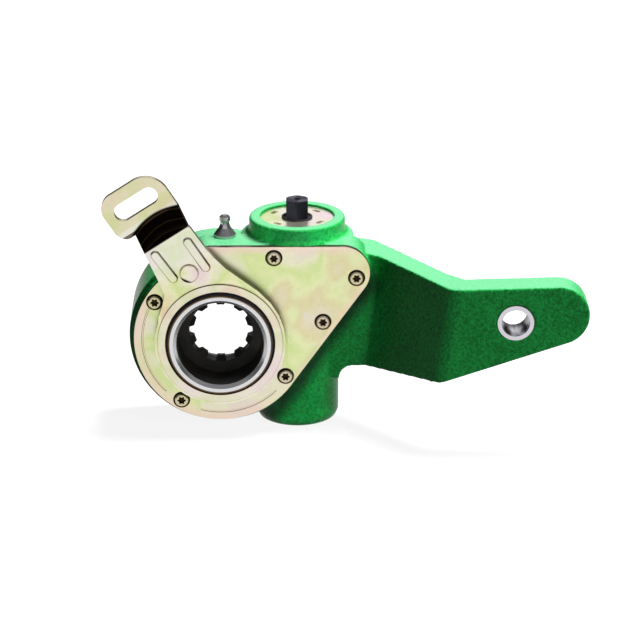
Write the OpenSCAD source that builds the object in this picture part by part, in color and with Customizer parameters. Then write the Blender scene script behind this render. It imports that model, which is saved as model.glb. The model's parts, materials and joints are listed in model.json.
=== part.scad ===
// Brake slack adjuster: cast lever housing, worm and wheel on a splined bore, self-setting control arm

/* [Bore and wheel] */
// Outer diameter of the splines in the bore
spline_major = 38.1; // [36:0.1:39]
// Inner diameter of the splines in the bore
spline_minor = 32.4; // [31:0.1:33.5]
// Width of each spline groove
spline_groove = 6; // [5:0.1:7]
// Length of the splined stretch
spline_length = 9; // [8:0.5:12]
// Diameter of the smooth bore in front of the splines
bore_d = 52; // [50:0.5:53]
// Diameter of the smooth bore behind the splines
rear_bore_d = 56; // [54:0.5:57]
// Diameter of the wheel's hubs
hub_d = 62; // [61:0.5:63]
// Distance from the worm's axis plane to the wheel's front face
wheel_front = 40; // [39:0.5:42]
// Distance from the worm's axis plane to the wheel's rear face
wheel_rear = 18; // [17.5:0.5:20]
// Width of the wheel's toothed rim
wheel_face = 18; // [14:0.5:18]

/* [Worm] */
// Distance from the bore's axis to the worm's axis
worm_x = 46; // [46:0.1:46.4]
// Length of the worm's thread
worm_length = 36; // [30:1:38]
// Diameter of the worm's shaft
shaft_d = 16; // [14:0.5:17]
// Width across the flats of the adjusting hexagon
hex_width = 13; // [11:0.5:13]
// Height of the hexagon's top above the bore's axis
hex_top = 78; // [74:0.5:84]

/* [Housing] */
// Width of the round lobe's rim outside the control collar
lobe_rim = 14.2; // [13:0.1:16]
// Radius of the worm barrel
barrel_r = 25; // [24.5:0.25:27]
// Height of the barrel's lower end below the bore's axis
barrel_bottom = 60; // [59:0.5:64]
// Radius of the boss on top of the barrel
boss_r = 28.7; // [27:0.1:30]
// Height of the boss's rim above the bore's axis
boss_top = 68; // [67:0.5:70]
// Distance from the worm's axis plane to the front flange face
face_front = 26.5; // [26.5:0.25:28]
// Distance from the worm's axis plane to the rear face about the bore
face_rear = 17; // [16:0.5:17.5]
// Height of the flat shoulder above the bore's axis
shoulder_top = 58; // [57.5:0.25:60]

/* [Lever arm] */
// Thickness of the lever arm
arm_thick = 19; // [16:0.5:22]
// Angle at which the arm runs forward from the barrel
arm_bend = 46; // [40:1:50]
// Distance from the bore's axis to the bend along X
bend_x = 134; // [128:1:140]
// Distance from the worm's axis plane to the front face at the clevis
arm_front = 65; // [60:1:70]
// Clevis hole centre along X
clevis_x = 173; // [168:0.5:180]
// Clevis hole centre above the bore's axis
clevis_z = 22.6; // [18:0.2:26]
// Diameter of the clevis pin hole in the bush
clevis_hole = 16; // [14:0.1:17]
// Outer diameter of the clevis bush
bush_d = 21.5; // [20:0.1:24]
// Radius of the arm's round tip
tip_r = 18; // [16.5:0.5:19]

/* [Cover and control arm] */
// Thickness of the cover plate
cover_thick = 3; // [2:0.25:3.5]
// Thickness of the control arm's plate
plate_thick = 4; // [3:0.25:5]
// Radial thickness of the control collar
collar_thick = 6.3; // [5.6:0.1:6.5]
// Distance from the bore's axis to the fixing slot
slot_reach = 96.5; // [94:0.5:104]
// Width of the fixing slot
slot_width = 11; // [9:0.5:12]
// Overall length of the fixing slot
slot_length = 29; // [26:0.5:31]
// How far the slotted head is set back
head_set = 11; // [6:0.5:11.5]

/* [Hidden] */
$fn = 72;

run = 0.06;                 // radial play of a running fit
gap = 0.3;                  // room between pieces that move past each other
seat = 0.05;                // play of a seated piece in its recess
nip = 0.05;                 // how far a straight edge stays inside the round it joins
over = 1;                   // how far a cutter runs past the face it cuts
wheel_teeth = 23;
wheel_pitch_r = 34.5;
wheel_module = 2 * wheel_pitch_r / wheel_teeth;
worm_pitch_r = worm_x - wheel_pitch_r;
wheel_add = 2.7;
wheel_ded = 3.4;
wheel_play = 0.9;           // backlash between worm and wheel
control_module = 2;
control_teeth = 39;
clutch_teeth = 15;
control_add = 1.2;
control_ded = 1.9;
control_play = 1;           // backlash in the control train
pressure = 20;
hub_r = hub_d / 2;
collar_r = hub_r + collar_thick;
lobe_r = collar_r + lobe_rim;
bore_r = bore_d / 2;
shaft_r = shaft_d / 2;
spline_front = -17;
bore_bevel = 2;
cavity_gap = 0.8;
wheel_cavity_r = wheel_pitch_r + wheel_add + cavity_gap;
worm_cavity_r = worm_pitch_r + wheel_add + cavity_gap;
control_pitch_r = control_module * control_teeth / 2;
clutch_pitch_r = control_module * clutch_teeth / 2;
pinion_r = 5;               // pitch radius of both small worms on the control shaft
control_z = control_pitch_r + pinion_r;
control_y = -(clutch_pitch_r + pinion_r);
control_face = 6;
control_journal_r = pinion_r - control_add - gap;
control_thread = 15;        // length of each small worm
channel_half = pinion_r + control_add + gap;
channel_x0 = -14;
channel_x1 = 61;
bearing_length = 5;
control_recess_r = max(control_pitch_r + control_add, collar_r) + 2 * gap;
control_floor = control_y + control_face / 2 + over;
spring_bore_r = 21;
cap_r = 22;
cap_z0 = 59.5;
cap_z1 = boss_top - 1.5;
cap_slot_at = 16.5;
cap_slot_r = 1.5;
cap_slot_depth = 2.5;
cap_slot_angles = [-35, 45, 145, 225];
thread_top = worm_length / 2;
clutch_z0 = thread_top + 2;
clutch_face = 8;
clutch_high = 17.5;         // height of the clutch ring
clutch_flange = 5;
clutch_sleeve = 2.2;
clutch_wire = 1.5;
bush_wall = 3;
plug_r = 14;
plug_thick = 5;
bush_top = thread_top + 4;
bush_length = 22;
cover_y0 = -face_front - 0.5 - cover_thick;
cover_y1 = -face_front - 0.5;
collar_bore_r = hub_r + 0.4;
collar_front = -wheel_front + 2;
collar_wall = 1.2;
collar_pocket = 1.5;
collar_pocket_length = 5;
collar_step_r = max(collar_bore_r + collar_wall, min(collar_r, control_pitch_r - control_ded + 0.2) - 2.8);
collar_proud = 1.2;         // how far the collar stands out of the control arm's face
plate_y0 = collar_front + collar_proud;
plate_y1 = plate_y0 + plate_thick;
arm_angle = 33;             // lean of the control arm from the vertical
bend_start = 71.2;
bend_end = bend_start + 12;
neck_left = -6;
neck_right = 24.8;
head_left = -16;
head_right = 25;
head_top = slot_reach + 13;
head_round = 10;
head_shoulder = 14.8;       // larger round of the head's right corner
heel_round = 7;             // round of the head's lower corner
slot_side = 4.6;
screw_r = 2.5;
screw_head_r = 4.3;
screw_head = 2.6;           // height of a screw's head
screw_seat_r = screw_head_r + 0.7;
screw_sink = 1.2;           // how deep the head sits in the cover
screw_play = 0.3;
screw_depth = 10;
socket_r = 1.9;
socket_depth = 2;
arc_inset = 5;
arc_width = 0.9;
arc_depth = 0.5;
arc_angles = [[155, 225], [255, 315]];
lobe_screw_r = collar_r + 0.57 * lobe_rim;
lobe_screw_angles = [148.5, 238.5, 328.5];
corner_r = 16.5;
corner_at = [72.5, shoulder_top - corner_r];
screw_places = concat([for (a = lobe_screw_angles) lobe_screw_r * [cos(a), sin(a)]],
                      [[worm_x - 13.9, shoulder_top - 6.9], [worm_x + 15.1, 10.8],
                       corner_at + [8.5, -3.1]]);
crown_r = 13;
crown_at = [-5, shoulder_top - crown_r];
tip_at = [clevis_x + 25.3, clevis_z + 3.9];
arm_slope = 18.5;           // rise of the arm's lower edge
root_top = 54.5;
root_bottom = -21.5;
heel_back = 5;              // how far inside the bend the lower edge turns
bend_round = 14;            // round of the arm's bend, seen from above
bend_steps = 8;
bend_lean = 7;              // lean of the bend's line from the vertical
bend_room = 15;             // spare length round the arm for that lean
hollow_r = 9;               // hollow between the barrel and the arm's lower edge
root_x = 60;
root_front = -21.5;
root_back = 8;
lobe_step = 3;              // how far the lobe stands out behind the cover's lip
lip = 3;
boss_foot = 6;              // depth of the boss's foot below the shoulder
boss_fillet = 5;
boss_taper = 14;            // height over which the barrel widens to the boss's foot
barrel_bevel = 5;
nipple_at = [3, -9];
nipple_thread_r = 4;
nipple_thread = 6;
nipple_foot_r = 6.6;
nipple_high = 13.4;
// Nipple from foot to ball, as shares of its foot's radius and its height
nipple_profile = [[1, 0], [1, 0.1], [0.84, 0.2], [0.55, 0.4], [0.4, 0.58], [0.4, 0.66], [0.5, 0.76], [0.48, 0.9],
                  [0.25, 1], [0, 1]];
thrust_z0 = control_z + clutch_face / 2 + gap;
thrust_h = 3;
thrust_wide = 7;
seat_h = 2;
seal_r = shaft_r + 1.2;
hex_bevel = 0.7;
hex_dimple = 2.2;           // depth and radius of the centre mark in the hexagon's top
seal_depth = 3;
rear_seal_wide = 4;
rear_seal_length = 5;
rib_left = [[-37.4, 55.4], [-27.2, 41.2]];
rib_right = [[-18.2, 63.6], [-8, 48]];
rib_r = 3;
rib_high = 1.5;
rib_draft = 0.9;            // how far a rib's sides slope in
rivet_at = [-17.8, 44.1];
rivet_high = 0.8;
rivet_r = 5.6;

// Shapes that repeat

// Extrudes an outline drawn in X and Z between two depths along Y
module slab(y0, y1) {
  translate([0, y1, 0]) rotate([90, 0, 0]) linear_extrude(y1 - y0) children();
}

// Round bar about the bore's axis
module y_bar(r, y0, y1) {
  translate([0, y0, 0]) rotate([-90, 0, 0]) cylinder(r = r, h = y1 - y0);
}

// Round bar about the worm's axis
module z_bar(r, z0, z1) {
  translate([worm_x, 0, z0]) cylinder(r = r, h = z1 - z0);
}

// Ring about the bore's axis
module y_ring(r_in, r_out, y0, y1) {
  difference() {
    y_bar(r_out, y0, y1);
    y_bar(r_in, y0 - over, y1 + over);
  }
}

// Ring about the worm's axis
module z_ring(r_in, r_out, z0, z1) {
  difference() {
    z_bar(r_out, z0, z1);
    z_bar(r_in, z0 - over, z1 + over);
  }
}

// Involute of an angle, in degrees
function involute(a) = tan(a) * 180 / PI - a;

// Half angle of a tooth at a radius
function tooth_half(r, pitch_r, width) =
  width / 2 / pitch_r * 180 / PI + involute(pressure) - involute(acos(min(1, pitch_r * cos(pressure) / r)));

// One gear tooth pointing along X
module tooth(pitch_r, module_size, add, ded, play) {
  base_r = pitch_r * cos(pressure);
  width = PI * module_size / 2 - play / 2;
  radii = [max(base_r, pitch_r - ded), pitch_r, pitch_r + add / 2, pitch_r + add + over];
  foot = pitch_r - ded - over;
  foot_half = tooth_half(radii[0], pitch_r, width);
  polygon(concat([foot * [cos(foot_half), -sin(foot_half)]],
                 [for (r = radii) r * [cos(tooth_half(r, pitch_r, width)), -sin(tooth_half(r, pitch_r, width))]],
                 [for (i = [3:-1:0]) radii[i] * [cos(tooth_half(radii[i], pitch_r, width)),
                                                 sin(tooth_half(radii[i], pitch_r, width))]],
                 [foot * [cos(foot_half), sin(foot_half)]]));
}

// Helical thread along Z, with its ridge crossing +X at the origin
module helix_thread(pitch, length, root_r, tip_r, root_w, tip_w) {
  steps = 24;
  count = ceil(length / pitch * steps);
  section = [[root_r, -root_w / 2], [tip_r, -tip_w / 2], [tip_r, tip_w / 2], [root_r, root_w / 2]];
  points = [for (i = [0:count]) for (s = section)
            let (turn = i / steps - count / steps / 2)
            [s[0] * cos(360 * turn), s[0] * sin(360 * turn), s[1] + pitch * turn]];
  sides = [for (i = [0:count - 1]) for (k = [0:3])
           let (a = 4 * i + k, b = 4 * i + (k + 1) % 4)
           each [[a, b, b + 4], [a, b + 4, a + 4]]];
  polyhedron(points, concat([[3, 2, 1, 0]], sides, [[for (k = [0:3]) 4 * count + k]]), convexity = 10);
}

// Where a straight edge on the right of the way from a to b meets two circles, a nip inside each
function touch(a, ra, b, rb) =
  let (d = b - a, turn = atan2(d[1], d[0]) - acos((ra - rb) / norm(d)), side = [cos(turn), sin(turn)])
  [a + (ra - nip) * side, b + (rb - nip) * side];

// Outline of the flange face, shared by housing, gasket and cover
module flange_outline() {
  circle(lobe_r);
  translate(corner_at) circle(corner_r);
  translate(crown_at) circle(crown_r);
  polygon(concat(touch([0, 0], lobe_r, corner_at, corner_r), touch(corner_at, corner_r, crown_at, crown_r),
                 touch(crown_at, crown_r, [0, 0], lobe_r)));
}

// Place of each cover screw, with Y as the screw's axis
module at_screws() {
  for (p = screw_places) translate([p[0], 0, p[1]]) children();
}

// Housing pieces

// Lever arm seen from the front, with a hollow curve where its lower edge leaves the barrel
module arm_outline() {
  bottom = tip_at + (tip_r - nip) * [sin(arm_slope), -cos(arm_slope)];
  heel = bottom - (bottom[0] - bend_x + heel_back) * [1, tan(arm_slope)];
  hollow_at = [worm_x + barrel_r + hollow_r, root_bottom - hollow_r];
  difference() {
    polygon([[root_x, root_top], [bend_x, tip_at[1] + tip_r - 1.5], tip_at + [0, tip_r - nip], tip_at, bottom, heel,
             [hollow_at[0], root_bottom], [hollow_at[0], hollow_at[1]], [root_x, hollow_at[1]]]);
    translate(hollow_at) circle(hollow_r);
  }
  translate(tip_at) circle(tip_r);
}

// Lever arm seen from above, with a rounded bend and a front that falls back to the barrel
module arm_plan() {
  rise = tan(arm_bend);
  back_x = bend_x + arm_thick * tan(arm_bend / 2);
  back_y = -arm_front + arm_thick;
  tip_x = tip_at[0] + tip_r + bend_room;
  round_x = bend_x + bend_round * tan(arm_bend / 2);
  front_bend = [for (i = [0:bend_steps])
                let (a = arm_bend * i / bend_steps)
                [round_x - bend_round * sin(a), -arm_front + bend_round * (1 - cos(a))]];
  polygon(concat([[tip_x, -arm_front]], front_bend,
                 [[bend_x - (root_front + arm_front) / rise, root_front],
                  [worm_x + 0.8 * barrel_r, -0.6 * barrel_r], [root_x - bend_room, -0.4 * barrel_r],
                  [root_x - bend_room, root_back], [back_x - (root_back - back_y) / rise, root_back],
                  [back_x, back_y], [tip_x, back_y]]));
}

module lever_arm() {
  low = root_bottom - 2 * hollow_r - bend_room;
  intersection() {
    slab(-arm_front - over, root_back + over) arm_outline();
    translate([bend_x, 0, clevis_z]) rotate([0, bend_lean, 0]) translate([-bend_x, 0, low - clevis_z])
      linear_extrude(root_top + bend_room - low) arm_plan();
  }
}

// Barrel, boss and the fillet at the boss's foot, cut back where the cover passes in front
module barrel() {
  foot_z = shoulder_top - boss_foot;
  foot_r = boss_r + boss_fillet;
  translate([worm_x, 0, 0]) difference() {
    rotate_extrude() difference() {
      polygon([[0, -barrel_bottom], [barrel_r - barrel_bevel, -barrel_bottom],
               [barrel_r - 0.3 * barrel_bevel, -barrel_bottom + 0.3 * barrel_bevel],
               [barrel_r, -barrel_bottom + barrel_bevel], [barrel_r, foot_z - boss_taper], [foot_r, foot_z],
               [foot_r, shoulder_top - over], [boss_r, shoulder_top + boss_fillet - over],
               [boss_r, boss_top - over], [boss_r - over, boss_top], [0, boss_top]]);
      translate([foot_r, shoulder_top + boss_fillet - over]) circle(boss_fillet);
    }
    translate([-foot_r - over, -foot_r - over, foot_z - boss_taper])
      cube([2 * foot_r + 2 * over, foot_r + over - face_front + gap, boss_foot + boss_taper + seat]);
  }
}

// Room for the control shaft, narrow between its two small worms
module shaft_channel(front) {
  waist_half = control_journal_r + 2 * gap;
  reach = control_thread / 2 + over;
  for (c = [[channel_x0, reach, channel_half], [0, worm_x, waist_half], [worm_x - reach, channel_x1, channel_half]])
    translate([c[0], front, control_z - c[2]]) cube([c[1] - c[0], control_y + c[2] - front, 2 * c[2]]);
}

module housing_cavities() {
  y_bar(control_recess_r, -face_front - over, control_floor);
  y_bar(wheel_cavity_r, control_floor - over, wheel_face / 2 + 0.5);
  y_bar(hub_r + run, 0, face_rear + over);
  y_bar(hub_r + rear_seal_wide, face_rear - rear_seal_length, face_rear + over);
  z_bar(worm_cavity_r, -thread_top - 2, clutch_z0);
  z_bar(spring_bore_r, clutch_z0, cap_z0 + over);
  z_bar(cap_r, cap_z0, boss_top + over);
  z_bar(shaft_r + run + bush_wall, -bush_top - bush_length - 2 - over, -thread_top);
  z_bar(plug_r, -barrel_bottom - over, -barrel_bottom + plug_thick + 2);
  shaft_channel(-face_front - over);
  at_screws() y_bar(screw_r + seat, -face_front - over, -face_front + screw_depth);
  translate([clevis_x, 0, clevis_z]) y_bar(bush_d / 2, -arm_front - over, -arm_front + arm_thick + over);
  nipple_hole();
}

module housing() {
  color("seagreen") difference() {
    union() {
      slab(-face_front, -4) flange_outline();
      y_bar(lobe_r + lobe_step, -face_front + lip, face_rear);
      barrel();
      lever_arm();
    }
    housing_cavities();
  }
}

module clevis_bush() {
  proud = 0.6;
  color("lavender") translate([clevis_x, 0, clevis_z])
    y_ring(clevis_hole / 2, bush_d / 2, -arm_front - proud, -arm_front + arm_thick + proud);
}

module front_bearing() {
  color("goldenrod") difference() {
    y_ring(hub_r + run, wheel_cavity_r - seat, control_floor, -wheel_face / 2 - gap);
    z_bar(worm_cavity_r, -thread_top - 2, clutch_z0);
  }
}

module rear_seal() {
  color("dimgray") y_ring(hub_r + run, hub_r + rear_seal_wide - seat, face_rear - rear_seal_length, face_rear);
}

module lower_bush() {
  color("goldenrod") z_ring(shaft_r + run, shaft_r + run + bush_wall - seat, -bush_top - bush_length, -bush_top + 1);
}

module bottom_plug() {
  z1 = -barrel_bottom + plug_thick + 2;
  color("slategray") z_bar(plug_r - seat, z1 - plug_thick, z1);
}

// Grease nipple

module nipple_hole() {
  translate([nipple_at[0], nipple_at[1], shoulder_top - nipple_thread])
    cylinder(r = nipple_thread_r, h = nipple_thread + over);
  translate([nipple_at[0], nipple_at[1], shoulder_top]) cylinder(r = nipple_foot_r + gap, h = nipple_high);
}

module grease_nipple() {
  color("silver") translate([nipple_at[0], nipple_at[1], shoulder_top]) rotate_extrude()
    polygon(concat([[0, -nipple_thread], [nipple_thread_r - seat, -nipple_thread], [nipple_thread_r - seat, 0]],
                   [for (q = nipple_profile) [nipple_foot_r * q[0], nipple_high * q[1]]]));
}

// Cover, gasket and screws

module cover_opening() {
  circle(collar_r + gap);
}

// Shallow arcs pressed into the cover, left of and below the bore
module cover_arcs() {
  arc_r = lobe_r - arc_inset;
  for (a = arc_angles) intersection() {
    y_ring(arc_r - arc_width / 2, arc_r + arc_width / 2, cover_y0 - over, cover_y0 + arc_depth);
    slab(cover_y0 - over, cover_y1)
      polygon([[0, 0], for (t = [a[0]:10:a[1]]) 2 * lobe_r * [cos(t), sin(t)]]);
  }
}

module front_cover() {
  color("khaki") difference() {
    slab(cover_y0, cover_y1) flange_outline();
    slab(cover_y0 - over, cover_y1 + over) cover_opening();
    at_screws() y_bar(screw_r + screw_play, cover_y0 - over, cover_y1 + over);
    at_screws() y_bar(screw_seat_r, cover_y0 - over, cover_y0 + screw_sink);
    cover_arcs();
  }
}

module cover_gasket() {
  color("dimgray") difference() {
    slab(cover_y1, -face_front) flange_outline();
    y_bar(control_recess_r, cover_y1 - over, -face_front + over);
    shaft_channel(cover_y1 - over);
    at_screws() y_bar(screw_r + screw_play, cover_y1 - over, -face_front + over);
  }
}

// Six-lobed socket
module lobed_socket() {
  circle(socket_r);
  for (i = [0:5]) rotate(60 * i) translate([socket_r, 0]) circle(socket_r / 3, $fn = 24);
}

module cover_screws() {
  under = cover_y0 + screw_sink;
  shank = -face_front + screw_depth - over - under;
  color("khaki") at_screws() difference() {
    translate([0, under, 0]) rotate([90, 0, 0]) rotate_extrude()
      polygon([[0, -shank], [screw_r, -shank], [screw_r, 0], [screw_head_r, 0], [screw_head_r, screw_head * 0.4],
               [screw_head_r * 0.93, screw_head * 0.75], [screw_head_r * 0.78, screw_head], [0, screw_head]]);
    slab(under - screw_head - over, under - screw_head + socket_depth) lobed_socket();
  }
}

// Worm, wheel and what sits on the worm's axis

// Toothed rim about the bore's axis, its teeth slanted by the worm's lead
module slanted_rim(pitch_r, module_size, teeth, add, ded, play, face, tilt) {
  intersection() {
    for (i = [0:teeth - 1]) rotate([0, -360 * i / teeth, 0]) rotate([tilt, 0, 0])
      slab(-face, face) tooth(pitch_r, module_size, add, ded, play);
    y_bar(pitch_r + add, -face / 2, face / 2);
  }
}

module spline_hole() {
  circle(d = spline_minor);
  intersection() {
    circle(d = spline_major);
    for (i = [0:4]) rotate(36 * i) square([2 * spline_major, spline_groove], center = true);
  }
}

module worm_wheel() {
  lead = atan(wheel_module / 2 / worm_pitch_r);
  splines_end = spline_front + spline_length;
  lead_in = (spline_major - spline_minor) / 2 + 0.2;
  color("gainsboro") difference() {
    union() {
      y_bar(hub_r, -wheel_front, wheel_rear);
      y_bar(wheel_pitch_r - wheel_ded, -wheel_face / 2, wheel_face / 2);
      slanted_rim(wheel_pitch_r, wheel_module, wheel_teeth, wheel_add, wheel_ded, wheel_play, wheel_face, -lead);
    }
    y_bar(bore_r, -wheel_front - over, spline_front);
    y_bar(rear_bore_d / 2, splines_end, wheel_rear + over);
    slab(spline_front - over, splines_end + over) spline_hole();
    translate([0, spline_front - 0.01, 0]) rotate([-90, 0, 0])
      cylinder(r1 = spline_minor / 2 + lead_in, r2 = spline_minor / 2, h = lead_in);
    translate([0, splines_end + 0.01, 0]) rotate([90, 0, 0])
      cylinder(r1 = spline_minor / 2 + lead_in, r2 = spline_minor / 2, h = lead_in);
    translate([0, -wheel_front - 0.01, 0]) rotate([-90, 0, 0])
      cylinder(r1 = bore_r + bore_bevel, r2 = bore_r, h = bore_bevel);
    y_ring(hub_r - 1.4, hub_r + over, collar_front - 0.2, collar_front + 1.4);
  }
}

module lock_ring() {
  color("black") difference() {
    y_ring(hub_r - 1.4, hub_r + 0.6, collar_front - 0.1, collar_front + 1.3);
    rotate([0, -232, 0]) translate([0, collar_front - over, -1.5]) cube([hub_r + 5, 4, 3]);
  }
}

module worm_screw() {
  half = wheel_module * PI / 2 - wheel_play / 2;
  slope = tan(pressure);
  shaft_bottom = -bush_top - bush_length + 2;
  corner = hex_width / 2 / cos(30);
  color("dimgray") {
    z_bar(shaft_r, shaft_bottom, cap_z1);
    translate([worm_x, 0, 0]) difference() {
      intersection() {
        translate([0, 0, cap_z1 - over]) rotate(30) cylinder(r = corner, h = hex_top - cap_z1 + over, $fn = 6);
        translate([0, 0, cap_z1 - over]) cylinder(r1 = corner + hex_top - cap_z1, r2 = corner - hex_bevel,
                                                  h = hex_top - cap_z1 + over);
      }
      translate([0, 0, hex_top - hex_dimple]) cylinder(r1 = 0.2, r2 = hex_dimple + 0.2, h = hex_dimple + seat);
    }
    translate([worm_x, 0, 0])
      helix_thread(PI * wheel_module, worm_length - 2 * half, shaft_r - 2 * gap, worm_pitch_r + wheel_add,
                   half + 2 * (worm_pitch_r - shaft_r + 2 * gap) * slope, half - 2 * wheel_add * slope);
  }
}

module clutch_ring() {
  color("slategray") union() {
    z_ring(shaft_r, shaft_r + clutch_flange, clutch_z0, clutch_z0 + clutch_high / 2);
    z_ring(shaft_r, shaft_r + clutch_sleeve, clutch_z0 + clutch_high / 2 - over, clutch_z0 + clutch_high);
  }
}

// Toothed ring about the worm's axis, turned by the control shaft
module clutch_gear() {
  lead = atan(control_module / 2 / pinion_r);
  z0 = control_z - clutch_face / 2;
  root_r = clutch_pitch_r - control_ded;
  color("goldenrod") difference() {
    union() {
      z_bar(root_r, z0, z0 + clutch_face);
      intersection() {
        translate([worm_x, 0, control_z]) rotate([0, 0, -90]) for (i = [0:clutch_teeth - 1])
          rotate(360 * i / clutch_teeth) rotate([-lead, 0, 0]) linear_extrude(2 * clutch_face, center = true)
            tooth(clutch_pitch_r, control_module, control_add, control_ded, control_play);
        z_bar(clutch_pitch_r + control_add, z0, z0 + clutch_face);
      }
    }
    z_bar(shaft_r + run, z0 - over, z0 + clutch_face + over);
  }
}

module clutch_spring() {
  inner_r = shaft_r + clutch_sleeve + 2 * gap;
  z0 = clutch_z0 + clutch_high / 2 + gap;
  coil_top = control_z - clutch_face / 2;
  turns = floor((coil_top - z0) / (clutch_wire + gap));
  color("silver") for (i = [0:turns - 1]) let (top = coil_top - i * (clutch_wire + gap))
    z_ring(inner_r, inner_r + clutch_wire, top - clutch_wire, top);
}

module thrust_bearing() {
  color("silver") z_ring(shaft_r + 2 * gap, shaft_r + thrust_wide, thrust_z0, thrust_z0 + thrust_h);
}

module spring_seat() {
  color("slategray") z_ring(shaft_r + 2 * gap, spring_bore_r - seat, thrust_z0 + thrust_h, thrust_z0 + thrust_h + seat_h);
}

// Two cone washers, set rim against rim
module coupling_spring() {
  z0 = thrust_z0 + thrust_h + seat_h;
  height = cap_z0 - z0;
  leaf = height * 0.22;
  inner = shaft_r + 1.5;
  outer = spring_bore_r - 1;
  color("silver") translate([worm_x, 0, 0]) rotate_extrude() {
    polygon([[inner, z0], [inner, z0 + leaf], [outer, z0 + height / 2], [outer, z0 + height / 2 - leaf]]);
    polygon([[inner, z0 + height - leaf], [inner, z0 + height], [outer, z0 + height / 2 + leaf],
             [outer, z0 + height / 2]]);
  }
}

module spring_cap() {
  color("khaki") difference() {
    z_bar(cap_r - seat, cap_z0, cap_z1);
    z_bar(shaft_r + run, cap_z0 - over, cap_z1 + over);
    z_bar(seal_r + seat, cap_z1 - seal_depth, cap_z1 + over);
    translate([worm_x, 0, cap_z1 - cap_slot_depth]) for (a = cap_slot_angles) rotate(a)
      linear_extrude(cap_slot_depth + over)
        round_bar_outline([cap_slot_at, -cap_slot_r], [cap_slot_at, cap_slot_r], cap_slot_r);
  }
}

module hex_seal() {
  color("black") z_ring(shaft_r + run, seal_r, cap_z1 - seal_depth, cap_z1 + 0.8);
}

// Control arm and its train

// Places a shape drawn across (x) and along (y) the control arm's lean
module along_arm() {
  rotate(arm_angle) children();
}

module round_bar_outline(a, b, r) {
  d = b - a;
  translate(a) circle(r);
  translate(b) circle(r);
  translate(a) rotate(atan2(d[1], d[0])) translate([0, nip - r]) square([norm(d), 2 * (r - nip)]);
}

module head_outline() {
  low = bend_end - 2;
  wide = head_right - head_left;
  translate([head_left + head_round, head_top - head_round]) circle(head_round);
  translate([head_right - head_shoulder, head_top - head_shoulder]) circle(head_shoulder);
  translate([head_left + head_round, low + nip])
    square([wide - head_round - head_shoulder, head_top - low - 2 * nip]);
  translate([head_left + nip, low + heel_round]) square([head_round, head_top - head_round - low - heel_round]);
  translate([head_left + heel_round, low + nip]) square([wide - heel_round - nip, head_top - head_shoulder - low]);
  translate([head_left + heel_round, low + heel_round]) circle(heel_round);
}

module control_arm_outline() {
  circle(collar_r + 1.6);
  along_arm() {
    translate([neck_left, 0]) square([neck_right - neck_left, bend_end + 2]);
    head_outline();
  }
  polygon([[2 - collar_r, 4], [-36.8, 12], [-36.2, 16.9], [-33.8, 24.3], [-32.6, 30.7], [-36.4, 40.3], [-44, 57],
           [-17, 72.7], [-8.3, 60.1], [-3.2, 54], [3.5, 47.2], [13.3, 39.8], [22.2, 33.2], [30, 25.4], [35.3, 17],
           [collar_r - 0.8, 5], [0, 0]]);
}

// Rib pressed out of the arm's face, with sloping sides and ends
module pressed_rib(a, b) {
  d = b - a;
  low = rib_r - nip;
  high = rib_r - rib_draft - nip;
  for (end = [a, b])
    translate([end[0], plate_y0, end[1]]) rotate([90, 0, 0]) {
      cylinder(r1 = rib_r, r2 = rib_r - rib_draft, h = rib_high);
      translate([0, 0, -over]) cylinder(r = rib_r, h = over);
    }
  translate([a[0], plate_y0, a[1]]) rotate([0, -atan2(d[1], d[0]), 0]) rotate([90, 0, 90]) linear_extrude(norm(d))
    polygon([[over, low], [over, -low], [0, -low], [-rib_high, -high], [-rib_high, high], [0, low]]);
}

// Side view of the arm: flat plate, set-back bend and slotted head
module arm_side() {
  far = head_top + over;
  near = -collar_r - 3;
  polygon([[near, plate_y0], [bend_start, plate_y0], [bend_end, plate_y0 + head_set], [far, plate_y0 + head_set],
           [far, plate_y1 + head_set], [bend_end - 1.7, plate_y1 + head_set], [bend_start - 1.7, plate_y1],
           [near, plate_y1]]);
}

module control_arm() {
  half = 80;
  color("khaki") difference() {
    union() {
      intersection() {
        slab(plate_y0 - over, plate_y1 + head_set + over) control_arm_outline();
        rotate([0, -arm_angle, 0]) rotate([90, 0, 90]) translate([0, 0, -half]) linear_extrude(2 * half)
          polygon_side();
      }
      pressed_rib(rib_left[0], rib_left[1]);
      pressed_rib(rib_right[0], rib_right[1]);
    }
    y_bar(collar_r, plate_y0 - over, plate_y1 + over);
    translate([rivet_at[0], 0, rivet_at[1]]) y_bar(rivet_r + seat, plate_y0 - over, plate_y1 + over);
    slab(plate_y0, plate_y1 + head_set + over) along_arm()
      round_bar_outline([slot_side - slot_length / 2 + slot_width / 2, slot_reach],
                        [slot_side + slot_length / 2 - slot_width / 2, slot_reach], slot_width / 2);
  }
}

// Side view turned so that its first axis is height and its second is depth
module polygon_side() {
  mirror([1, -1]) arm_side();
}

module arm_rivet() {
  color("khaki") translate([rivet_at[0], 0, rivet_at[1]]) {
    y_bar(rivet_r, plate_y0 - rivet_high, plate_y1 + 2 * gap);
    translate([0, plate_y0 - rivet_high, 0]) rotate([90, 0, 0])
      cylinder(r1 = rivet_r, r2 = rivet_r - rivet_high, h = rivet_high / 2);
  }
}

module control_collar() {
  color("khaki") difference() {
    union() {
      y_bar(collar_r, collar_front, control_y - control_face / 2);
      y_bar(collar_step_r, collar_front, control_y + control_face / 2);
    }
    y_bar(collar_bore_r, collar_front - over, control_y + control_face);
    y_bar(hub_r + collar_pocket, collar_front - over, collar_front + collar_pocket_length);
  }
}

module collar_seal() {
  color("black") y_ring(hub_r + run, hub_r + collar_pocket - seat, collar_front + 1.8, collar_front + collar_pocket_length);
}

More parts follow.
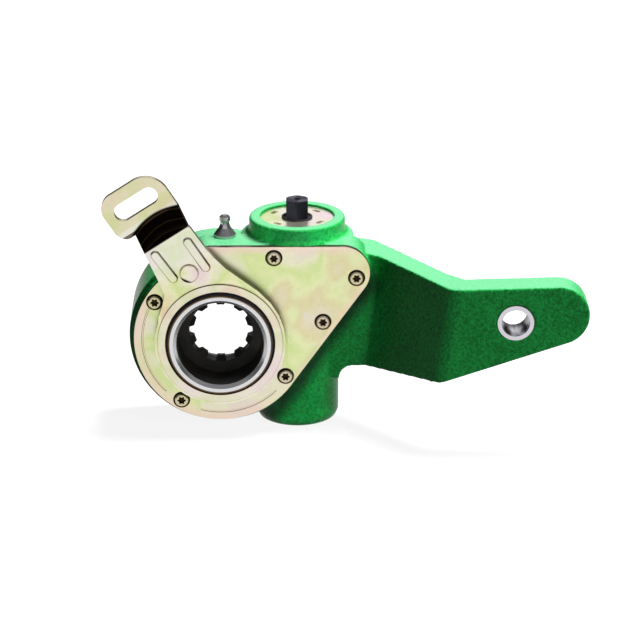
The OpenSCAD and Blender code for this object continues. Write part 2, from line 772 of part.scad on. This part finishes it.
module control_gear() {
  lead = atan(control_module / 2 / pinion_r);
  color("slategray") difference() {
    union() {
      translate([0, control_y, 0]) rotate([0, -90, 0])
        slanted_rim(control_pitch_r, control_module, control_teeth, control_add, control_ded, control_play,
                    control_face, -lead);
      y_bar(control_pitch_r - control_ded, control_y - control_face / 2, control_y + control_face / 2);
    }
    y_bar(collar_step_r, control_y - control_face, control_y + control_face);
  }
}

// Small worm on the control shaft, turned so that a groove faces the gear it drives
module small_worm(x, turn) {
  pitch = PI * control_module;
  half = pitch / 2 - control_play / 2;
  slope = tan(pressure);
  translate([x, control_y, control_z]) rotate([90, 0, 90]) rotate(turn)
    helix_thread(pitch, control_thread - half, control_journal_r - 0.8, pinion_r + control_add,
                 half + 2 * (pinion_r - control_journal_r + 0.8) * slope, half - 2 * control_add * slope);
}

module control_shaft() {
  color("silver") {
    translate([channel_x0 + gap, control_y, control_z]) rotate([0, 90, 0])
      cylinder(r = control_journal_r, h = channel_x1 - channel_x0 - 2 * gap);
    small_worm(0, 90);
    small_worm(worm_x, 180);
  }
}

module shaft_bearings() {
  side = 2 * (channel_half - seat);
  color("goldenrod") for (x = [channel_x0 + seat, channel_x1 - bearing_length - seat]) difference() {
    translate([x, control_y - channel_half + seat + 0.2, control_z - channel_half + seat])
      cube([bearing_length, side - 0.2, side]);
    translate([x - over, control_y, control_z]) rotate([0, 90, 0])
      cylinder(r = control_journal_r + run, h = bearing_length + 2 * over);
    y_bar(control_recess_r, -face_front - over, control_floor);
  }
}

housing();
clevis_bush();
front_cover();
cover_gasket();
cover_screws();
spring_cap();
hex_seal();
grease_nipple();
coupling_spring();
spring_seat();
thrust_bearing();
lower_bush();
bottom_plug();
front_bearing();
rear_seal();
shaft_bearings();
worm_wheel();
lock_ring();
worm_screw();
clutch_ring();
control_arm();
control_collar();
control_gear();
collar_seal();
arm_rivet();
control_shaft();
clutch_gear();
clutch_spring();
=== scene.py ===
"""Brake slack adjuster: finishes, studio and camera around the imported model."""
import json
import math
import bpy
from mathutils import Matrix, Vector


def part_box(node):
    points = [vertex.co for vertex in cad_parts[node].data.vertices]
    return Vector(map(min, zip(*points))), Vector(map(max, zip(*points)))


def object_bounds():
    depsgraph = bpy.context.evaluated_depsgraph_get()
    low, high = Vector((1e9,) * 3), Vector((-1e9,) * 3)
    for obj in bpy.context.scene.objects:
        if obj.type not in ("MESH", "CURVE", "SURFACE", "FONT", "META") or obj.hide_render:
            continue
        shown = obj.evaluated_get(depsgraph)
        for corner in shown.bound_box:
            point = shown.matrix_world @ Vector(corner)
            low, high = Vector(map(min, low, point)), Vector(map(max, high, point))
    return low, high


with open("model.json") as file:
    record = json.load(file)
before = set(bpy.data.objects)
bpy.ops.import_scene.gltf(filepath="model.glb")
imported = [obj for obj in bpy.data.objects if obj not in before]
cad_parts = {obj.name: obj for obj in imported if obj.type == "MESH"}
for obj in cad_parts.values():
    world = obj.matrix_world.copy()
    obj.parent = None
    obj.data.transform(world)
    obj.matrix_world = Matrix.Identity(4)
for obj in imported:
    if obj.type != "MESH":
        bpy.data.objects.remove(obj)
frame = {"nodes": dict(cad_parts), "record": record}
cad_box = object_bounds()
nodes = frame["nodes"]

MM = 0.001

# Camera, from points measured in the photograph
CAMERA_AZIMUTH = 0.75        # degrees, 0 looks along +Y
CAMERA_ELEVATION = 20.5      # degrees above the horizontal
CAMERA_DISTANCE = 1.715
CAMERA_TARGET = (0.05934, -0.030, 0.01198)
CAMERA_FOCAL_PIXELS = 2884.0
CAMERA_NEAR = 0.05
PICTURE_PIXELS = 640
SENSOR = 36.0

# A pair of lengths or levels, here and below, is where a change begins and where it is complete

# Control arm: the way it leans, its middle across, and distances along it
ARM_LEAN = math.radians(33)
ARM_ALONG = (-math.sin(ARM_LEAN), 0, math.cos(ARM_LEAN))
ARM_ACROSS = (math.cos(ARM_LEAN), 0, math.sin(ARM_LEAN))
ARM_MIDDLE = 9.5 * MM
NECK_START = (44 * MM, 56 * MM)
BEND_FOOT = (70.6 * MM, 71.6 * MM)
BEND_TOP = (85.6 * MM, 87.0 * MM)
BEND_BOW = 14.0              # per metre, how far the bend's upper edge falls away to the sides
BEND_LINE = 2.2 * MM         # width of the lines along the bend
BEND_WOBBLE = 1.5 * MM       # how far those lines wander

# Rivet in the arm's neck, with a painted shadow under its lower edge
RIVET_CENTRE = (-17.8 * MM, 0, 44.1 * MM)
RIVET_LOW = (-0.42, 0, -0.91)
RIVET_SHADOW = (3.4 * MM, 4.5 * MM)

# Depths at which the cover's screw seats, and the screws' feet and sockets, turn dark with painted shade
SEAT_SHADE = (-29.5 * MM, -29.1 * MM)
SOCKET_SHADE = (-31.0 * MM, -30.3 * MM)

# Clevis bush: its middle, and the radii over which its bore, painted darker in streaks as shade, ends
CLEVIS_CENTRE = (173 * MM, 0, 22.6 * MM)
BUSH_BORE = (8.1 * MM, 8.4 * MM)

# Front end of the worm wheel: radii of its black bore and its dark brown outer rim, and the depth of its
# front ring
WHEEL_BORE = (27.9 * MM, 28.3 * MM)
DARK_RIM_RADII = (29.8 * MM, 30.4 * MM)
FRONT_RING = (-38.6 * MM, -37.4 * MM)

# Slanted edge of the cover, from the round lobe to the corner at the right
COVER_LOW, COVER_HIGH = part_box("front_cover")
COVER_TOP = COVER_HIGH[2]
LOBE_R = -COVER_LOW[0]
CORNER_R = 16.5 * MM
CORNER_X = COVER_HIGH[0] - CORNER_R
CORNER_Z = COVER_TOP - CORNER_R
CORNER_AWAY = math.hypot(CORNER_X, CORNER_Z)
EDGE_TURN = math.atan2(CORNER_Z, CORNER_X) - math.acos((LOBE_R - CORNER_R) / CORNER_AWAY)
EDGE_OUTWARD = (math.cos(EDGE_TURN), 0, math.sin(EDGE_TURN))
EDGE_ALONG = (-math.sin(EDGE_TURN), 0, math.cos(EDGE_TURN))
EDGE_END = CORNER_X * EDGE_ALONG[0] + CORNER_Z * EDGE_ALONG[2]

# Pink blush inside the cover's edges: how wide it is, and how far up and right it runs on the lobe
LOBE_BLUSH = 10 * MM
TOP_BLUSH = 7 * MM
SLANT_BLUSH = 6 * MM
SLANT_BLUSH_SHARE = 0.6
LOBE_BLUSH_END = (-25 * MM, 5 * MM)

# Painted shadow on the paint beside the slanted edge: outwards from it, up along it, in depth and by slope
SHADOW_START = (-3 * MM, -1 * MM)
SHADOW_WIDTH = (4 * MM, 14 * MM)
SHADOW_UP = (EDGE_END, EDGE_END + 12 * MM)
SHADOW_DEPTH = (-4 * MM, 4 * MM)
SHADOW_SLOPE = (0.2, 0.6)

# Colours of the paint
GREEN = (0.007, 0.180, 0.030)
GREEN_PATCH = (0.009, 0.220, 0.038)
GREEN_LIGHT = (0.016, 0.32, 0.066)
GREEN_DARK = (0.002, 0.065, 0.012)
GREEN_WORN = (0.04, 0.42, 0.16)
# Painted highlight: paler paint where the surface faces up, as if lit from above
GREEN_TOP_SHEEN = (0.045, 0.195, 0.085)
GREEN_TOP_SHEEN_LIGHT = (0.060, 0.245, 0.110)
# Colour of the painted shadow beside the cover's slanted edge
GREEN_SHADOW = (0.003, 0.026, 0.008)
TOP_SHEEN_SLOPE = (0.55, 0.98)     # upward share of the normal on which the paint turns paler

# Colours of the zinc plating
ZINC_CLOUDS = [(0.34, (0.94, 0.76, 0.78)), (0.42, (0.96, 0.91, 0.72)), (0.48, (0.74, 0.84, 0.36)),
               (0.54, (0.93, 0.93, 0.58)), (0.60, (0.88, 0.72, 0.45)), (0.67, (0.94, 0.78, 0.72))]
ZINC_BROWN = (0.70, 0.52, 0.28)
ZINC_SPECK = (0.30, 0.24, 0.12)
# Painted shade where the plate turns towards its edges
ZINC_TURN_SHADE = (0.55, 0.36, 0.16)
ZINC_EDGE = (0.80, 0.78, 0.66)
ZINC_BLUSH = (0.96, 0.72, 0.62)
NECK_PALE = (0.93, 0.93, 0.88)
HEAD_YELLOW = (0.70, 0.69, 0.26)
HEAD_PINK = (0.86, 0.72, 0.50)
# Painted shade and dark reflection on the zinc: plate edges, under the rivet, in screw seats and sockets
SHADE_BLACK = (0.004, 0.003, 0.002)
SHADE_BROWN = (0.040, 0.026, 0.010)
# Painted dark reflection and shade on the arm's bend, with painted brown highlights in lines
BEND_SHADE_BLACK = (0.003, 0.002, 0.001)
BEND_HIGHLIGHT_BROWN = (0.050, 0.030, 0.012)

# Even tints over the zinc: the share of each and its colour
COVER_WASH = (0.30, (0.66, 0.80, 0.36))
COLLAR_WASH = (0.45, (0.88, 0.78, 0.74))
SCREW_WASH = (0.60, (0.50, 0.36, 0.17))

# Colours of the worm wheel
WHEEL_BRIGHT = (0.84, 0.84, 0.85)
WHEEL_DULL = (0.56, 0.56, 0.58)
OIL_BLACK = (0.008, 0.008, 0.007)
OIL_BROWN = (0.020, 0.017, 0.012)
RIM_DARK = (0.030, 0.016, 0.007)
RIM_BROWN = (0.22, 0.13, 0.06)

# Edges
SEAM_GAP = 0.002 * MM
EDGE_ANGLE = 35              # degrees, the least turn that counts as an edge
PLATE_EDGE = 0.35 * MM
PRESSED_EDGE = 0.8 * MM
CAST_VOXEL = 0.7 * MM
CAST_ROUNDS = 8

# Stage
WHITE = (1, 1, 1)
FLOOR_SIZE = 6.0
FLOOR_GLOW = 0.88            # share of plain white in the floor where it is seen or mirrored
FLOOR_BOUNCE = (0.07,) * 3   # how much light the floor throws back on the object
FLOOR_GREY = (0.86,) * 3
FLOOR_PALE = (0.90,) * 3
FLOOR_SPECK = 0.4
FLOOR_BACK = (0.3, 0.7)      # distances behind the object over which mirrored rays lose the glow

# Surroundings: ranges of a direction's X, Y or Z, what the metal mirrors there, and what lights the rest
CEILING = (0.45, 0.72)
LOW_BACK = (0.08, 0.25)
BACK = (0.1, 0.5)
FAR_SIDE = (0.55, 0.85)
BACK_SIDE = (0.15, 0.4)
CEILING_GREY = (0.20, 0.20, 0.21)
SIDE_DARK = (0.02, 0.02, 0.022)
SOFT_LIGHT = (0.032, 0.032, 0.035)

# Lamps
LAMP_AIM = (0.05, 0, 0)
OPEN_SPREAD = 180            # degrees
GRID_SPREAD = 3


# Node trees

class Value:
    """A socket of a node tree. Sums on values add Math nodes."""

    def __init__(self, tree, socket):
        self.tree = tree
        self.socket = socket

    def math(self, operation, *operands):
        sockets = dict(enumerate(operands))
        return self.tree.add("ShaderNodeMath", {"operation": operation}, sockets)

    def __add__(self, other):
        return self.math("ADD", self, other)

    def __sub__(self, other):
        return self.math("SUBTRACT", self, other)

    def __rsub__(self, other):
        return self.math("SUBTRACT", other, self)

    def __mul__(self, other):
        return self.math("MULTIPLY", self, other)

    __radd__ = __add__
    __rmul__ = __mul__

    def absolute(self):
        return self.math("ABSOLUTE", self)

    def highest(self, other):
        return self.math("MAXIMUM", self, other)

    def between(self, low, high):
        """0 below low, 1 above high and a smooth rise between."""
        return self.tree.add("ShaderNodeMapRange", {"interpolation_type": "SMOOTHSTEP"},
                             {"Value": self, "From Min": low, "From Max": high})


class Tree:
    """The nodes of a material or of the world."""

    def __init__(self, node_tree):
        self.nodes = node_tree.nodes
        self.links = node_tree.links

    def add(self, kind, settings=None, sockets=None, out=0):
        """Adds a node: its settings, then the values or links of its sockets. Returns one output."""
        node = self.nodes.new(kind)
        for name, value in (settings or {}).items():
            if name == "stops":
                self.set_stops(node.color_ramp, value)
            else:
                setattr(node, name, value)
        for name, value in (sockets or {}).items():
            self.feed(node.inputs[name], value)
        return Value(self, node.outputs[out]) if node.outputs else None

    def set_stops(self, ramp, stops):
        while len(ramp.elements) < len(stops):
            ramp.elements.new(0.5)
        for element, (place, colour) in zip(ramp.elements, stops):
            element.position = place
            element.color = (*colour, 1)

    def feed(self, socket, value):
        if isinstance(value, Value):
            self.links.new(value.socket, socket)
        elif socket.type == "RGBA":
            socket.default_value = (*value, 1)
        else:
            socket.default_value = value

    def vector(self, operation, first, second=None, out=0):
        sockets = {0: first}
        if second is not None:
            sockets[1] = second
        return self.add("ShaderNodeVectorMath", {"operation": operation}, sockets, out)

    def place(self, centre=None):
        """The spot in the model's frame, from a centre if one is given."""
        spot = self.add("ShaderNodeTexCoord", out="Object")
        return self.vector("SUBTRACT", spot, centre) if centre else spot

    def normal(self):
        return self.add("ShaderNodeNewGeometry", out="Normal")

    def axis(self, letter, vector):
        return self.add("ShaderNodeSeparateXYZ", {}, {0: vector}, out=letter)

    def along(self, direction, centre=None):
        """How far the spot lies in a direction."""
        return self.vector("DOT_PRODUCT", self.place(centre), direction, out="Value")

    def radius(self, centre=None):
        """How far the spot lies from an axis along Y."""
        flat = self.vector("MULTIPLY", self.place(centre), (1, 0, 1))
        return self.vector("LENGTH", flat, out="Value")

    def noise(self, size, detail=2, roughness=0.5, stretch=(1, 1, 1)):
        """Noise whose grains are about size across, in metres."""
        spot = self.vector("MULTIPLY", self.place(), stretch)
        return self.add("ShaderNodeTexNoise", {}, {"Vector": spot, "Scale": 1 / size, "Detail": detail,
                                                    "Roughness": roughness})

    def lines(self, value, size, detail=3):
        """Noise along one value, which draws a line wherever that value is the same."""
        return self.add("ShaderNodeTexNoise", {"noise_dimensions": "1D"},
                        {"W": value, "Scale": 1 / size, "Detail": detail})

    def mix(self, share, first, second):
        return self.add("ShaderNodeMix", {"data_type": "RGBA"}, {0: share, 6: first, 7: second}, out=2)

    def ramp(self, value, stops):
        return self.add("ShaderNodeValToRGB", {"stops": stops}, {"Fac": value})

    def bump(self, height, distance, strength):
        return self.add("ShaderNodeBump", {}, {"Height": height, "Distance": distance,
                                               "Strength": strength})

    def edges(self, low=0.52, high=0.60):
        """1 on outward edges, 0 on flats."""
        return self.add("ShaderNodeNewGeometry", out="Pointiness").between(low, high)

    def ray(self, kind):
        return self.add("ShaderNodeLightPath", out=kind)


class Finish(Tree):
    """A material on one Principled shader, whose plain values are given by name."""

    def __init__(self, name, **plain):
        self.material = bpy.data.materials.new(name)
        self.material.use_nodes = True
        super().__init__(self.material.node_tree)
        self.shader = self.nodes["Principled BSDF"]
        for socket, value in plain.items():
            self.set(socket.replace("_", " "), value)

    def set(self, socket, value):
        self.feed(self.shader.inputs[socket], value)


def scaled(colour, factor):
    return tuple(min(1, factor * c) for c in colour)


# Finishes

def painted_edge_shadow(f, upward):
    """Painted shadow: 1 on the paint beside the cover's slanted edge, and 0 away from it."""
    off_edge = f.along(EDGE_OUTWARD) - LOBE_R
    painted_shadow = off_edge.between(*SHADOW_START) * (1 - off_edge.between(*SHADOW_WIDTH))
    painted_shadow = painted_shadow * (1 - f.along(EDGE_ALONG).between(*SHADOW_UP))
    painted_shadow = painted_shadow * (1 - upward.between(*SHADOW_SLOPE))
    return painted_shadow * (1 - f.axis("Y", f.place()).between(*SHADOW_DEPTH))


def green_paint():
    """Thick gloss paint over a sand casting, with painted highlight where it faces up and painted shadow by
    the cover.
    """
    f = Finish("green_paint", Specular_IOR_Level=0.04, Coat_Weight=1.0, Coat_IOR=1.14, Coat_Roughness=0.28)
    grain = f.noise(1.6 * MM, roughness=0.55)
    swell = f.noise(9 * MM)
    patch = f.noise(35 * MM)
    wear = f.edges(0.53, 0.62) * f.noise(3 * MM, detail=3).between(0.35, 0.6)
    upward = f.axis("Z", f.normal())
    paint = f.mix(patch.between(0.3, 0.7), GREEN, GREEN_PATCH)
    paint = f.mix(grain.between(0.50, 0.68) * 0.60, paint, GREEN_LIGHT)
    paint = f.mix((1 - grain.between(0.32, 0.49)) * 0.58, paint, GREEN_DARK)
    paint = f.mix(wear * 0.35, paint, GREEN_WORN)
    # Painted highlight: paler where the surface faces up
    paint = f.mix(upward.between(*TOP_SHEEN_SLOPE), paint, f.mix(grain, GREEN_TOP_SHEEN, GREEN_TOP_SHEEN_LIGHT))
    # Painted shadow of the cover's edge on the paint beside it
    painted_shadow = painted_edge_shadow(f, upward) * (0.65 + 0.5 * swell)
    f.set("Base Color", f.mix(painted_shadow, paint, GREEN_SHADOW))
    f.set("Roughness", 0.30 + 0.2 * grain)
    f.set("Normal", f.bump(grain + 0.5 * swell, 0.65 * MM, 0.7))
    return f.material


def cover_rim(f):
    """1 at the cover's lower left and top edges, less at its slanted edge, and 0 well inside them."""
    spot = f.place()
    height = f.axis("Z", spot)
    lower_left = 1 - (f.axis("X", spot) + height).between(*LOBE_BLUSH_END)
    lobe = f.radius().between(LOBE_R - LOBE_BLUSH, LOBE_R) * lower_left
    top = height.between(COVER_TOP - TOP_BLUSH, COVER_TOP)
    slant = f.along(EDGE_OUTWARD).between(LOBE_R - SLANT_BLUSH, LOBE_R) * SLANT_BLUSH_SHARE
    return lobe.highest(top).highest(slant)


def bent_arm(f, tint, drift):
    """Pale neck, yellow head and, between them, a bend painted dark as shade and dark reflection, with
    painted brown highlights in bowed lines.
    """
    along = f.along(ARM_ALONG)
    side = f.along(ARM_ACROSS) - ARM_MIDDLE
    bowed = along + side * side * BEND_BOW
    tint = f.mix(along.between(*NECK_START) * 0.5, tint, NECK_PALE)
    head = f.mix(drift.between(0.4, 0.65), HEAD_YELLOW, HEAD_PINK)
    tint = f.mix(along.between(*BEND_TOP) * 0.6, tint, head)
    # Painted shade and dark reflection on the bend, crossed by lines of painted highlight
    lines = f.lines(bowed + BEND_WOBBLE * drift, BEND_LINE, detail=2)
    bend_shade = f.mix(lines.between(0.58, 0.72), BEND_SHADE_BLACK, BEND_HIGHLIGHT_BROWN)
    shaded_band = along.between(*BEND_FOOT) * (1 - bowed.between(*BEND_TOP))
    return f.mix(shaded_band, tint, bend_shade)


def yellow_zinc(name, shaded_cut_edges=False, bend=False, deep=None, blush=False, rivet=False, wash=None):
    """Yellow chromate over zinc: straw and green with pink clouds, and painted dark reflection and shade on
    the plate's edges.
    """
    f = Finish(name)
    cloud = f.noise(42 * MM)
    drift = f.noise(13 * MM, detail=3, roughness=0.6)
    fine = f.noise(0.7 * MM)
    tint = f.ramp(cloud * 0.8 + drift * 0.2, ZINC_CLOUDS)
    tint = f.mix(drift.between(0.62, 0.78) * 0.25, tint, ZINC_BROWN)
    tint = f.mix((1 - fine.between(0.2, 0.5)) * 0.18, tint, ZINC_SPECK)
    if wash:
        share, colour = wash
        tint = f.mix(share, tint, colour)
    # Painted shade and dark reflection, for the plate edges, the rivet's lower edge and the deep places
    dark = f.mix(drift, SHADE_BLACK, SHADE_BROWN)
    if shaded_cut_edges:
        # Painted dark reflection and shade on the plate's edges, by which way they face
        facing = f.axis("Y", f.normal()).absolute()
        tint = f.mix(1 - facing.between(0.80, 0.99), tint, ZINC_TURN_SHADE)
        tint = f.mix(1 - facing.between(0.15, 0.75), tint, dark)
    else:
        tint = f.mix(f.edges() * 0.4, tint, ZINC_EDGE)
    if blush:
        tint = f.mix(cover_rim(f) * (0.25 + 0.9 * drift), tint, ZINC_BLUSH)
    if rivet:
        # Painted shadow under the rivet's lower edge
        tint = f.mix(f.along(RIVET_LOW, RIVET_CENTRE).between(*RIVET_SHADOW), tint, dark)
    if bend:
        tint = bent_arm(f, tint, drift)
    if deep:
        # Painted shade in the screw seats and sockets, between these depths
        tint = f.mix(f.axis("Y", f.place()).between(*deep), tint, dark)
    f.set("Base Color", tint)
    f.set("Metallic", 0.9 + 0.1 * drift)
    f.set("Roughness", 0.22 + 0.14 * cloud + 0.06 * fine)
    f.set("Normal", f.bump(fine + 1.5 * drift, 0.06 * MM, 0.5))
    return f.material


def turned_steel(name, colour, rough, centre, bore):
    """Bright steel with fine turning rings about an axis along Y through a centre, and a bore painted darker
    in streaks as shade.
    """
    f = Finish(name)
    radius = f.radius(centre)
    rings = f.lines(radius, 0.35 * MM)
    stain = f.noise(8 * MM, detail=3)
    streak = f.noise(5 * MM, stretch=(1, 0.1, 1)).between(0.42, 0.58)
    inside = 1 - radius.between(*bore)
    tone = f.mix(rings.between(0.3, 0.7) * 0.35, colour, scaled(colour, 0.6))
    tone = f.mix(stain.between(0.55, 0.75) * 0.25, tone, scaled(colour, 0.75))
    tone = f.mix(f.edges() * 0.4, tone, scaled(colour, 1.2))
    # Painted shade inside the bore, in streaks
    f.set("Base Color", f.mix(inside * streak, tone, scaled(colour, 0.3)))
    f.set("Metallic", 0.92 + 0.06 * stain)
    f.set("Roughness", rough + 0.14 * rings + 0.08 * stain)
    f.set("Normal", f.bump(rings, 0.05 * MM, 0.4))
    return f.material


def wheel_steel():
    """Turned face and hubs, darker brown at the outer rim in front, and an oil-blackened bore."""
    f = Finish("wheel_steel")
    radius = f.radius()
    behind = f.axis("Y", f.place()).between(*FRONT_RING)
    rings = f.lines(radius, 0.4 * MM)
    stain = f.noise(7 * MM, detail=4, roughness=0.6)
    inside = (1 - radius.between(*WHEEL_BORE)) * behind
    rim = radius.between(*DARK_RIM_RADII) * (1 - behind)
    steel = f.mix(rings.between(0.3, 0.7) * 0.3, WHEEL_BRIGHT, WHEEL_DULL)
    steel = f.mix(rim, steel, f.mix(stain, RIM_DARK, RIM_BROWN))
    oil = f.mix(stain.between(0.4, 0.7), OIL_BLACK, OIL_BROWN)
    f.set("Base Color", f.mix(inside, steel, oil))
    f.set("Metallic", 0.95 - 0.6 * inside)
    f.set("Roughness", 0.22 + 0.12 * rings + inside * (0.18 + 0.2 * stain))
    f.set("Normal", f.bump(rings, 0.05 * MM, 0.4))
    return f.material


def plain_metal(name, colour, worn, rough, metal=0.85):
    """Oiled or oxidised metal: blotches, fine grain and worn edges."""
    f = Finish(name, Specular_IOR_Level=0.25)
    blotch = f.noise(6 * MM, detail=4, roughness=0.6)
    fine = f.noise(0.6 * MM)
    tone = f.mix(blotch.between(0.35, 0.7) * 0.5, colour, scaled(colour, 0.55))
    f.set("Base Color", f.mix(f.edges() * 0.6, tone, worn))
    f.set("Metallic", metal - 0.1 * blotch)
    f.set("Roughness", rough + 0.15 * blotch + 0.05 * fine)
    f.set("Normal", f.bump(fine + blotch, 0.05 * MM, 0.5))
    return f.material


def soft_finish(name, colour, rough):
    """Rubber or fibre: matt, dusty, with a fine grain."""
    f = Finish(name)
    dust = f.noise(7 * MM, detail=4, roughness=0.65)
    fine = f.noise(0.5 * MM)
    dusty = tuple(c * 1.8 + 0.02 for c in colour)
    f.set("Base Color", f.mix(dust.between(0.45, 0.75) * 0.5, colour, dusty))
    f.set("Roughness", rough + 0.2 * dust)
    f.set("Normal", f.bump(fine, 0.06 * MM, 0.6))
    return f.material


slot_finish = {
    "green_paint": green_paint(),
    "yellow_zinc": yellow_zinc("yellow_zinc"),
    "bright_steel": turned_steel("bright_steel", (0.78, 0.76, 0.82), 0.16, CLEVIS_CENTRE, BUSH_BORE),
    "machined_steel": wheel_steel(),
    "black_steel": plain_metal("black_steel", (0.009, 0.008, 0.012), (0.050, 0.045, 0.065), 0.40, metal=0.4),
    "dark_steel": plain_metal("dark_steel", (0.16, 0.16, 0.17), (0.40, 0.40, 0.42), 0.34),
    "spring_steel": plain_metal("spring_steel", (0.34, 0.34, 0.35), (0.60, 0.60, 0.62), 0.28),
    "bronze": plain_metal("bronze", (0.52, 0.34, 0.14), (0.78, 0.58, 0.30), 0.30),
    "rubber": soft_finish("rubber", (0.012, 0.012, 0.013), 0.55),
    "gasket": soft_finish("gasket", (0.05, 0.048, 0.045), 0.75),
}

own_finish = {
    "front_cover": yellow_zinc("cover_zinc", shaded_cut_edges=True, deep=SEAT_SHADE, blush=True, wash=COVER_WASH),
    "control_arm": yellow_zinc("arm_zinc", shaded_cut_edges=True, bend=True),
    "control_collar": yellow_zinc("collar_zinc", shaded_cut_edges=True, wash=COLLAR_WASH),
    "arm_rivet": yellow_zinc("rivet_zinc", shaded_cut_edges=True, rivet=True),
    "cover_screws": yellow_zinc("screw_zinc", deep=SOCKET_SHADE, wash=SCREW_WASH),
    "grease_nipple": plain_metal("nipple_steel", (0.42, 0.41, 0.42), (0.75, 0.74, 0.75), 0.16, metal=0.98),
}

slot_of = {entry["node"]: entry["material_slot"] for entry in frame["record"]["subparts"]}
for name, node in nodes.items():
    node.data.materials.clear()
    node.data.materials.append(own_finish.get(name, slot_finish[slot_of[name]]))


# Edges

def join_seams(node):
    weld = node.modifiers.new("join", "WELD")
    weld.merge_threshold = SEAM_GAP


def break_edges(node, width, segments=2):
    """Rounds a rigid piece's hard edges by a small bevel."""
    join_seams(node)
    bevel = node.modifiers.new("edges", "BEVEL")
    bevel.width = width
    bevel.segments = segments
    bevel.limit_method = "ANGLE"
    bevel.angle_limit = math.radians(EDGE_ANGLE)
    bevel.harden_normals = True


def soften_casting(node, voxel, rounds):
    """Gives a casting its rounded edges and filled corners."""
    join_seams(node)
    remesh = node.modifiers.new("cast", "REMESH")
    remesh.mode = "VOXEL"
    remesh.voxel_size = voxel
    remesh.use_smooth_shade = True
    smooth = node.modifiers.new("rounding", "SMOOTH")
    smooth.factor = 0.5
    smooth.iterations = rounds


soften_casting(nodes["housing"], CAST_VOXEL, CAST_ROUNDS)
for name in ("front_cover", "spring_cap", "control_collar", "clevis_bush", "worm_screw"):
    break_edges(nodes[name], PLATE_EDGE)
for name in ("control_arm", "arm_rivet"):
    break_edges(nodes[name], PRESSED_EDGE, segments=3)


# Stage, light and camera

def floor():
    """Chalk floor that keeps the shadow, and glows where it is seen or where metal mirrors its front."""
    bpy.ops.mesh.primitive_plane_add(size=FLOOR_SIZE, location=(0, 0, cad_box[0][2]))
    plane = bpy.context.object
    plane.name = "floor"
    material = bpy.data.materials.new("floor")
    material.use_nodes = True
    f = Tree(material.node_tree)
    f.nodes.clear()
    seen = f.ray("Is Camera Ray")
    mirrored = f.ray("Is Glossy Ray")
    white = f.mix(f.noise(FLOOR_SPECK, detail=3), FLOOR_GREY, FLOOR_PALE)
    chalk = f.add("ShaderNodeBsdfDiffuse", {}, {"Color": f.mix(seen, FLOOR_BOUNCE, white)})
    glow = f.add("ShaderNodeEmission", {}, {"Color": WHITE, "Strength": 1})
    in_front = 1 - f.axis("Y", f.place()).between(*FLOOR_BACK)
    bright = (mirrored * in_front).highest(seen) * FLOOR_GLOW
    both = f.add("ShaderNodeMixShader", {}, {0: bright, 1: chalk, 2: glow})
    f.add("ShaderNodeOutputMaterial", {}, {"Surface": both})
    plane.data.materials.append(material)


def studio_world():
    """White around the object, with a grey ceiling and dark sides for the metal to mirror."""
    world = bpy.data.worlds.new("studio")
    bpy.context.scene.world = world
    world.use_nodes = True
    w = Tree(world.node_tree)
    w.nodes.clear()
    way = w.add("ShaderNodeTexCoord", out="Generated")
    across = w.axis("X", way).absolute()
    back = w.axis("Y", way)
    up = w.axis("Z", way)
    low = 1 - up.between(*LOW_BACK)
    behind = back.between(*BACK) * low.highest(across.between(*BACK_SIDE))
    sides = across.between(*FAR_SIDE).highest(behind)
    mirror_tone = w.mix(up.between(*CEILING), WHITE, CEILING_GREY)
    mirror_tone = w.mix(sides, mirror_tone, SIDE_DARK)
    tone = w.mix(w.ray("Is Glossy Ray"), SOFT_LIGHT, mirror_tone)
    tone = w.mix(w.ray("Is Camera Ray"), tone, WHITE)
    sky = w.add("ShaderNodeBackground", {}, {"Color": tone, "Strength": 1})
    w.add("ShaderNodeOutputWorld", {}, {"Surface": sky})


def softbox(name, place, aim, size, power, spread=OPEN_SPREAD):
    """A rectangular lamp, with a grid over it where its beam spreads by fewer degrees."""
    data = bpy.data.lights.new(name, "AREA")
    data.shape = "RECTANGLE"
    data.size, data.size_y = size
    data.spread = math.radians(spread)
    data.energy = power
    lamp = bpy.data.objects.new(name, data)
    bpy.context.scene.collection.objects.link(lamp)
    lamp.location = place
    lamp.rotation_euler = (Vector(aim) - Vector(place)).to_track_quat("-Z", "Y").to_euler()
    lamp.visible_glossy = False


def camera():
    azimuth = math.radians(CAMERA_AZIMUTH)
    elevation = math.radians(CAMERA_ELEVATION)
    level = math.cos(elevation)
    forward = Vector((math.sin(azimuth) * level, math.cos(azimuth) * level, -math.sin(elevation)))
    data = bpy.data.cameras.new("camera")
    data.sensor_width = SENSOR
    data.lens = CAMERA_FOCAL_PIXELS / PICTURE_PIXELS * SENSOR
    data.clip_start = CAMERA_NEAR
    eye = bpy.data.objects.new("camera", data)
    bpy.context.scene.collection.objects.link(eye)
    eye.location = Vector(CAMERA_TARGET) - CAMERA_DISTANCE * forward
    eye.rotation_euler = forward.to_track_quat("-Z", "Y").to_euler()
    bpy.context.scene.camera = eye


floor()
studio_world()
softbox("top_light", place=(0.50, 0.14, 1.25), aim=LAMP_AIM, size=(0.5, 0.5), power=77)
softbox("side_light", place=(1.1, -1.1, 0.45), aim=LAMP_AIM, size=(0.7, 0.7), power=15)
# Two narrow beams: on the boss and the upper cover, and on the barrel below
softbox("strip_light", place=(0.0, -1.3, 0.25), aim=(0.044, 0, 0.035), size=(0.06, 0.08), power=0.020,
        spread=GRID_SPREAD)
softbox("low_strip_light", place=(0.03, -1.3, 0.15), aim=(0.048, 0, -0.040), size=(0.04, 0.05), power=0.005,
        spread=GRID_SPREAD)
camera()
bpy.context.scene.view_settings.view_transform = "Standard"
